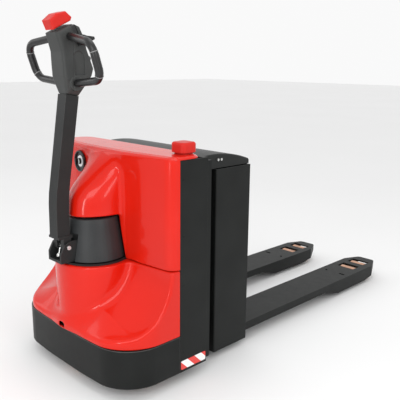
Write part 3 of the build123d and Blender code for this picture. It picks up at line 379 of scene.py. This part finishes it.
def rounded(node, width, segments=3, angle=38, look=None, with_edge_highlight=True, squeeze=None):
    """A finished copy of a CAD node with real rounded edges, which stands for the node. squeeze
    scales it a little along X, Y and Z."""
    source = frame["nodes"][node]
    mesh = source.data.copy()
    mesh.name = node + "_finished"
    bm = bmesh.new()
    bm.from_mesh(mesh)
    bmesh.ops.remove_doubles(bm, verts=bm.verts, dist=0.00002)
    bmesh.ops.dissolve_limit(bm, angle_limit=math.radians(2.5), verts=bm.verts, edges=bm.edges)
    if squeeze:
        bmesh.ops.scale(bm, vec=squeeze, verts=bm.verts)
    bm.to_mesh(mesh)
    bm.free()
    mesh.materials.clear()
    made = piece(mesh.name, mesh, source["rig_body"], look or looks[slots[node]], (node,))
    # the rounded faces get a lighter, shinier colour: a painted highlight along the edges
    if with_edge_highlight:
        mesh.materials.append(painted_edge_highlight)
    bevel = made.modifiers.new("rounded", "BEVEL")
    bevel.width = width * MM
    bevel.segments = segments
    bevel.limit_method = "ANGLE"
    bevel.angle_limit = math.radians(angle)
    bevel.use_clamp_overlap = True
    bevel.miter_outer = "MITER_ARC"
    # rounded faces take the painted edge highlight
    if with_edge_highlight:
        bevel.material = 1
    mesh.shade_smooth()
    mesh.set_sharp_from_angle(angle=math.radians(30))
    normals = made.modifiers.new("even", "WEIGHTED_NORMAL")
    normals.keep_sharp = True
    return made


# ---------------------------------------------------------------- red cowls
def bumper_plan(x, y, inset):
    """Distance to the bumper's plan: a bowed front and two large corners."""
    bow, corner = 21, 150
    ax = np.abs(x)
    u = ax - (half_width - corner)
    v = (nose_y + corner) - (y - bow * (ax / half_width) ** 2)
    outside = np.hypot(np.maximum(u, 0), np.maximum(v, 0))
    return outside + np.minimum(np.maximum(u, v), 0) - corner + inset


def face_plan(ax):
    """How far each cowl face falls back behind the tiller nose."""
    return face_y + face_turn * np.clip((ax - face_start) / (half_width - face_start), 0, 1)


def upper_cowl_field(x, y, z):
    """Upper cowl: two faces, a keeled nose over the tiller, a round niche and the flat deck."""
    ax = np.abs(x)
    face = face_plan(ax) - y
    side = ax - half_width + 0.6
    body = soft_max(face, side, 44)
    # shallow upright valley beside the nose
    body = body + 5 * ease(ax, 100, 124) * (1 - ease(ax, 140, 205)) * (1 - ease(z, deck_z - 90, deck_z - 30))
    # keeled nose: an ellipse at its foot, nearly a wedge at its top
    rise = deck_z - 9 - z
    forward = -soft_max(-(152 - 0.13 * (z - niche_z)), -rise, 34)
    reach = np.maximum(forward, 1.0)
    power = 2.05 - 0.85 * ease(z, niche_z + 40, deck_z - 10)
    ahead = np.maximum(face_y - y, 0)
    lobe = ((ax / 100) ** power + (ahead / reach) ** power) ** (1 / power) - 1
    lobe = lobe * np.minimum(reach, 100)
    nose = soft_max(lobe, niche_z - z, 9)
    nose = np.maximum(nose, y - split_y)
    body = soft_min(body, np.where(rise > 0, nose, 50), 10)
    # niche round the steering collar
    share = np.clip((z - seam_z) / (niche_z - seam_z), 0, 1)
    niche = np.hypot(x, y - steer[1]) - (collar_high[0] + 10 - 29 * share)
    body = soft_max(body, -np.maximum(niche, z - niche_z), 5)
    body = soft_max(body, z - deck_z + 0.4, 16)
    # stepped line round the deck
    step_line = np.maximum(face_plan(ax) + 22 - y, ax - half_width + 16)
    body = body + 1.6 * ease(z, deck_z - 12, deck_z - 4) * ease(step_line, -1.5, 1.5)
    body = np.maximum(np.maximum(body, seam_z + 1.2 - z), y - split_y)
    # deck over the front of the side panels, rounded at its sides and back corners
    strip = soft_max(soft_max(side, y - cowl_high[1], 60), z - deck_z + 0.4, 16)
    strip = np.maximum(np.maximum(strip, deck_z - deck_thickness - z), split_y - 6 - y)
    return np.minimum(body, strip)


def lower_cowl_field(x, y, z):
    """Lower cowl: bumper plan with two scoops either side of a round column."""
    ax = np.abs(x)
    inner = 1 - ease(ax, 140, 330)
    turn = face_turn * np.clip((ax - face_start) / (half_width - face_start), 0, 1)
    centre_y = nose_y - 22 + turn
    climb = 55 * inner * np.clip((y - nose_y) / 80, 0, 1) + 10 * (1 - ease(ax, 60, 150))
    centre_z = seam_z - 15 + 12 * (1 - inner) + climb
    scoop = np.hypot(y - centre_y, np.minimum(z - centre_z, 0)) - 220
    body = soft_max(bumper_plan(x, y, 0.8), -scoop, 13)
    share = np.clip((z - bumper_z) / (seam_z - bumper_z), 0, 1)
    column = np.hypot(x / (0.92 + 0.16 * share), y - steer[1]) - 142
    body = soft_min(body, column, 34)
    body = soft_max(body, z - seam_z + 1.2, 7)
    body = soft_max(body, bumper_z + 0.8 - z, 4)
    return np.maximum(body, y - split_y)


def build_cowls():
    """The two red cowls as thin shells, open where they join the rest of the body."""

    def upper_rim(x, y, z):
        inside = np.abs(x) < half_width - 3
        back = (y > split_y - 1) & (z < deck_z - 14) & inside
        foot = (z < seam_z + 1.9) & (np.abs(x) < half_width - 0.9)
        return back | foot

    skin = surface("upper_cowl_skin", upper_cowl_field, (-half_width, nose_y + 40, seam_z),
                   (half_width, cowl_high[1], deck_z), cowl_mesh_step, upper_rim)
    piece("upper_cowl_skin", skin, "chassis", looks["red_cowl"], ("upper_cowl",), wall=cowl_wall)

    def lower_rim(x, y, z):
        return (y > split_y - 0.6) | ((z < bumper_z + 1.2) & (bumper_plan(x, y, 0) < -6))

    skin = surface("lower_cowl_skin", lower_cowl_field, (-half_width, nose_y, bumper_z),
                   (half_width, split_y, seam_z), cowl_mesh_step, lower_rim)
    piece("lower_cowl_skin", skin, "chassis", looks["red_cowl"], ("lower_cowl",), wall=cowl_wall)


# ---------------------------------------------------------------- tiller head
side_outline = [(0, 0), (-14, 60), (-18, 140), (-36, 200), (30, 232), (56, 222), (76, 180), (80, 150),
                (104, 84), (96, 60), (50, -8)]


def head_body(x, y, z):
    """The closed head before its details."""
    side = polygon(y - head_y, z - head_z, side_outline)
    half = np.interp(z - head_z, (-12, 50, 100, 240), (26, 44, 44, 38))
    return soft_max(side, (np.abs(x) - half) * 0.97, 13)


def head_band(y, z):
    """Band across the top of the head where the dark insert shows."""
    return polygon(y - head_y, z - head_z, [(8, 252), (30, 252), (42, 214), (58, 172), (44, 158), (26, 204)])


def head_field(x, y, z):
    """Head with its split line, side panels, boss, insert slot and button deck."""
    ax, dy, dz = np.abs(x), y - head_y, z - head_z
    body = head_body(x, y, z)
    boss = np.maximum(np.hypot(dy - 31, dz - 34) - 26, ax - 46)
    body = soft_min(body, soft_max(boss, np.hypot(dy - 31, dz - 34) - 26, 6), 5)
    # pressed side panel with a round top
    panel = np.minimum(np.hypot(dy - 44, dz - 122) - 20,
                       np.maximum(np.abs(dy - 46) - 20, np.abs(dz - 93) - 29))
    body = soft_max(body, -np.maximum(panel, 38.5 - ax), 3)
    # cover line from the neck to the crown
    seam = np.abs((dy - 16) - (dz + 20) * 14 / 260)
    body = soft_max(body, -np.maximum(seam - 0.9, -body - 1.6), 1)
    screw = np.hypot(dy - 33, dz - 74) - 3.2
    body = np.maximum(body, -np.maximum(screw, 38 - ax))
    body = soft_max(body, -np.maximum(head_band(y, z), -body - 4), 1.5)
    return body


def insert_field(x, y, z):
    """Dark insert that fills the band in the head."""
    return np.maximum(head_body(x, y, z) + 2.2, head_band(y, z) + 0.4)


def loop_path(side):
    """Centre line of one handle loop, with round corners, from the head and back to it."""
    ends = [Vector((side * 20, head_y + 16, head_z + 192)), Vector((side * 200, head_y - 12, head_z + 166)),
            Vector((side * 198, head_y + 24, head_z + 50)), Vector((side * 20, head_y + 31, head_z + 34))]
    bend = 42
    points = [ends[0]]
    for before, corner, after in zip(ends, ends[1:], ends[2:]):
        a, b = (before - corner).normalized(), (after - corner).normalized()
        half_angle = a.angle(b) / 2
        back = bend / math.tan(half_angle)
        centre = corner + (a + b).normalized() * bend / math.sin(half_angle)
        start, end = corner + a * back - centre, corner + b * back - centre
        sweep = start.angle(end)
        for t in np.linspace(0, 1, 14):
            points.append(centre + start * (math.sin((1 - t) * sweep) / math.sin(sweep))
                          + end * (math.sin(t * sweep) / math.sin(sweep)))
    points.append(ends[3])
    line = []
    for a, b in zip(points, points[1:]):
        steps = max(int((b - a).length / 4), 1)
        line += [a.lerp(b, k / steps) for k in range(steps)]
    return line + [points[-1]]


def build_head():
    low = (-52, head_y - 40, head_z - 12)
    high = (52, head_y + 108, head_z + 240)
    head = surface("head_shell", head_field, low, high, 1.6)
    piece("head_shell", head, "tiller", looks["head_grey"], ("tiller_head", "head_cover"))
    insert = surface("head_insert", insert_field, low, high, 2.0)
    piece("head_insert", insert, "tiller", looks["grip_black"])
    for side, name in ((-1, "left"), (1, "right")):
        line = loop_path(side)

        def thickness(share):
            grip = ease(share, grip_start, 0.455) * (1 - ease(share, 0.585, grip_end))
            ribs = 0.25 * math.cos(share * 420) * grip
            return 13.0 + 0.9 * grip + ribs - 0.5 * ease(share, 0.97, 1.0)

        loop = tube(name + "_grip_loop", line, thickness, 40)
        piece(name + "_grip_loop", loop, "tiller", looks["grip_black"],
              (name + "_handle_loop",))
        for mark, share in (("upper", grip_start), ("lower", grip_end)):
            k = int(share * len(line))
            axis = (line[k + 1] - line[k - 1]).normalized()
            ring_profile = [(12, -1.4), (14.1, -1.4), (14.5, 0), (14.1, 1.4), (12, 1.4), (12, -1.4)]
            ring = lathe(f"{name}_{mark}_ring", ring_profile, line[k], axis)
            piece(f"{name}_{mark}_ring", ring, "tiller", ring_grey)
        rocker = surface(name + "_thumb_paddle", lambda x, y, z, s=side: paddle_field(x, y, z, s),
                         (min(side * 46, side * 69), throttle[1] - 20, throttle[2] - 22),
                         (max(side * 46, side * 69), throttle[1] + 50, throttle[2] + 22), 1.4)
        piece(name + "_thumb_paddle", rocker, "throttle", looks["grip_black"],
              ("throttle_paddles",) if side < 0 else ())
    button = surface("belly_pad", belly_field, (-30, head_y - 54, head_z + 202),
                     (30, head_y + 36, head_z + 272), 1.4)
    piece("belly_pad", button, "belly_switch", looks["red_button"], ("belly_button",))


def paddle_field(x, y, z, side):
    """Finned thumb paddle: a hub and a tapered blade with grooves."""
    dy, dz = y - throttle[1], z - throttle[2]
    across = np.abs(x - side * paddle_x) - paddle_half
    hub = np.hypot(dy, dz) - 17
    blade = polygon(dy, dz, [(-6, 16), (44, 12), (46, 4), (8, -15)]) - 0.5
    body = soft_max(soft_min(hub, blade, 5), across, 4)
    grooves = np.abs((dy % 6) - 3) - 1
    return np.maximum(body, -np.maximum(grooves, np.maximum(9.5 - dz, 8 - dy)))


def belly_field(x, y, z):
    """Red belly button: a rounded block with crisp but broken edges."""
    side = polygon(y - head_y, z - head_z,
                   [(-38, 208), (-51, 238), (-24, 260.5), (9, 269.3), (32, 252), (28, 240)])
    block = soft_max(side - 0.2, np.abs(x) - 29, 8)
    groove = np.maximum(np.abs(np.abs(x) - 20) - 0.7, -block - 0.8)
    return np.maximum(block, -groove)


# ---------------------------------------------------------------- controls, clevis and decal
def build_details():
    place = Vector(joint_place("key_turn"))
    run = half_width - face_start
    out = Vector((-face_turn, -run, 0)).normalized()
    place.y = face_y + (abs(place.x) - face_start) * face_turn / run
    bezel_profile = [(0, -20), (36.5, -20), (36.5, 0), (41.6, 0.5), (42, 4), (40.5, 8.6), (36, 9), (34, 5),
                     (33, 2.5), (12, 2.2), (12, 11), (10.5, 12), (3.2, 12), (3.2, -18), (0, -18)]
    bezel = lathe("gauge_bezel", bezel_profile, place, out, 64)
    piece("gauge_bezel", bezel, "chassis", looks["button_black"], ("battery_gauge",))
    dial = lathe("gauge_dial", [(12.5, 2.3), (22, 2.3), (22, 3.2), (12.5, 3.6), (12.5, 2.3)], place, out, 64)
    piece("gauge_dial", dial, "chassis", gauge_white)
    trim_profile = [(3.3, 11.6), (10.5, 11.6), (11.5, 12.6), (10, 14), (3.3, 14.4), (3.3, 11.6)]
    trim = lathe("key_escutcheon", trim_profile, place, out, 48)
    piece("key_escutcheon", trim, "chassis", looks["bright_steel"])
    # ball stud and link between the cheeks of the tilt joint
    stud_profile = [(0, -8), (5, -7), (8, -3), (9, 1), (8, 5), (5, 9), (4, 12), (4, 30), (0, 31)]
    stud = lathe("tilt_ball_stud", stud_profile, (0, tilt[1] - 17, tilt[2] - 34), (0, 0.25, 1), 32)
    piece("tilt_ball_stud", stud, "drive_unit", looks["bright_steel"])
    # near-black ring in the seam between the cowls and under the collar: painted shade of the gap
    gap_shade_profile = [(98, -3), (133, -3), (133, 4.5), (126, 4.5), (126, 1), (98, 1), (98, -3)]
    gap_shade_ring = lathe("collar_gap_shade", gap_shade_profile, (steer[0], steer[1], seam_z + 1), (0, 0, 1), 96)
    piece("collar_gap_shade", gap_shade_ring, "chassis", painted_gap_shade)
    build_decal()


def build_decal():
    """Generic stripe label at the foot of each side panel."""
    for side in (-1, 1):
        bm = bmesh.new()
        y0, y1, z0, z1 = split_y + 4, split_y + 128, bumper_z - 133, bumper_z - 99
        corner, per_corner = 5, 6
        outline = []
        for cy, cz, start in ((y1 - corner, z1 - corner, 0), (y0 + corner, z1 - corner, 90),
                              (y0 + corner, z0 + corner, 180), (y1 - corner, z0 + corner, 270)):
            for k in range(per_corner):
                t = math.radians(start + 90 * k / (per_corner - 1))
                outline.append((cy + corner * math.cos(t), cz + corner * math.sin(t)))
        inner = [bm.verts.new((side * (half_width - 1.2) * MM, y * MM, z * MM)) for y, z in outline]
        outer = [bm.verts.new((side * (half_width - 0.1) * MM, y * MM, z * MM)) for y, z in outline]
        bm.faces.new(inner)
        bm.faces.new(outer)
        for k in range(len(outline)):
            j = (k + 1) % len(outline)
            bm.faces.new((inner[k], inner[j], outer[j], outer[k]))
        bmesh.ops.recalc_face_normals(bm, faces=bm.faces)
        name = ("left" if side < 0 else "right") + "_stripe_label"
        mesh = bpy.data.meshes.new(name)
        bm.to_mesh(mesh)
        bm.free()
        piece(name, mesh, "chassis", stripe_look())


def stripe_look():
    """White label with slanted red stripes."""
    made = gauge_white.copy()
    made.name = "stripe_label"
    nodes, links = made.node_tree.nodes, made.node_tree.links
    shader = nodes["Principled BSDF"]
    where = nodes.new("ShaderNodeTexCoord")
    wave = nodes.new("ShaderNodeTexWave")
    wave.bands_direction = "DIAGONAL"
    wave.inputs["Scale"].default_value = 9
    links.new(where.outputs["Object"], wave.inputs["Vector"])
    ramp = nodes.new("ShaderNodeValToRGB")
    ramp.color_ramp.interpolation = "CONSTANT"
    ramp.color_ramp.elements[0].color = (0.72, 0.03, 0.02, 1)
    ramp.color_ramp.elements[1].position = 0.5
    ramp.color_ramp.elements[1].color = (0.85, 0.85, 0.84, 1)
    links.new(wave.outputs["Fac"], ramp.inputs["Fac"])
    links.new(ramp.outputs["Color"], shader.inputs["Base Color"])
    return made


# ---------------------------------------------------------------- CAD nodes that keep their shape
def dress_nodes():
    """Rounded copies of the structural nodes, most with a painted highlight on their rounded edges, and a
    material for every other node.
    """
    rounding = {
        "side_panels": 1.6, "chassis_skirt": 2.2, "carriage_frame": 1.6, "left_fork": 2.6,
        "right_fork": 2.6, "tiller_arm": 3.6, "tiller_base": 1.6, "battery_lid": 2.0,
        "left_load_arm": 1.0, "right_load_arm": 1.0, "left_bogie": 0.8, "right_bogie": 0.8,
        "steering_collar": 1.2, "emergency_stop_button": 1.2, "bulkhead": 1.0,
    }
    # the panels leave room for the label, and the arm's rounding stays inside the CAD box
    shrink = {"side_panels": (0.9975, 1, 1), "tiller_arm": (1, 0.9999, 1)}
    for node, width in rounding.items():
        # these nodes get no painted edge highlight
        soft = node in ("steering_collar", "emergency_stop_button", "battery_lid")
        rounded(node, width, with_edge_highlight=not soft, squeeze=shrink.get(node))
    for node, source in frame["nodes"].items():
        source.data.materials.clear()
        source.data.materials.append(looks[slots[node]])


# ---------------------------------------------------------------- stage, light and camera
def build_stage():
    bpy.ops.mesh.primitive_plane_add(size=60, location=(0, 0, 0))
    floor = bpy.context.object
    floor.name = "studio_floor"
    floor.data.materials.append(
        material("studio_floor", (0.86, 0.86, 0.86), 0.75, grain=60, relief=0.02, mottle=0.01, patch=0.6))
    world = bpy.data.worlds.new("studio")
    bpy.context.scene.world = world
    world.use_nodes = True
    world.node_tree.nodes["Background"].inputs["Color"].default_value = (1, 1, 1, 1)
    world.node_tree.nodes["Background"].inputs["Strength"].default_value = 0.95
    target = Vector((0, -0.5, 0.45))
    for name, place, size, power in (
            ("key", (1.9, -2.9, 2.3), (1.5, 1.1), 22),
            ("window", (2.9, -0.9, 1.5), (0.5, 1.7), 14),
            ("fill", (-2.8, -2.2, 1.9), (1.2, 1.6), 8),
            ("top", (0.2, -0.4, 3.3), (2.2, 1.2), 12),
            ("strip", (0.9, -2.6, 0.9), (0.18, 1.0), 7)):
        lamp = bpy.data.lights.new(name, "AREA")
        lamp.shape = "RECTANGLE"
        lamp.size, lamp.size_y = size
        lamp.energy = power
        holder = bpy.data.objects.new(name, lamp)
        holder.location = place
        holder.rotation_euler = (target - Vector(place)).to_track_quat("-Z", "Y").to_euler()
        bpy.context.scene.collection.objects.link(holder)
    bpy.context.scene.view_settings.view_transform = "Standard"


def build_camera():
    camera = bpy.data.objects.new("camera", bpy.data.cameras.new("camera"))
    bpy.context.scene.collection.objects.link(camera)
    bpy.context.scene.camera = camera
    camera.data.lens = 52.58
    yaw, pitch, roll = (math.radians(a) for a in (45.45, 13.17, 0.55))
    ahead = Vector((-math.sin(yaw) * math.cos(pitch), math.cos(yaw) * math.cos(pitch), -math.sin(pitch)))
    right = Vector((math.cos(yaw), math.sin(yaw), 0))
    up = right.cross(ahead)
    level_right = right * math.cos(roll) + up * math.sin(roll)
    level_up = up * math.cos(roll) - right * math.sin(roll)
    turn = Matrix((level_right, level_up, -ahead)).transposed().to_4x4()
    camera.matrix_world = Matrix.Translation((1.7727, -1.9442, 1.1460)) @ turn


build_stage()
build_camera()
build_cowls()
build_head()
build_details()
dress_nodes()
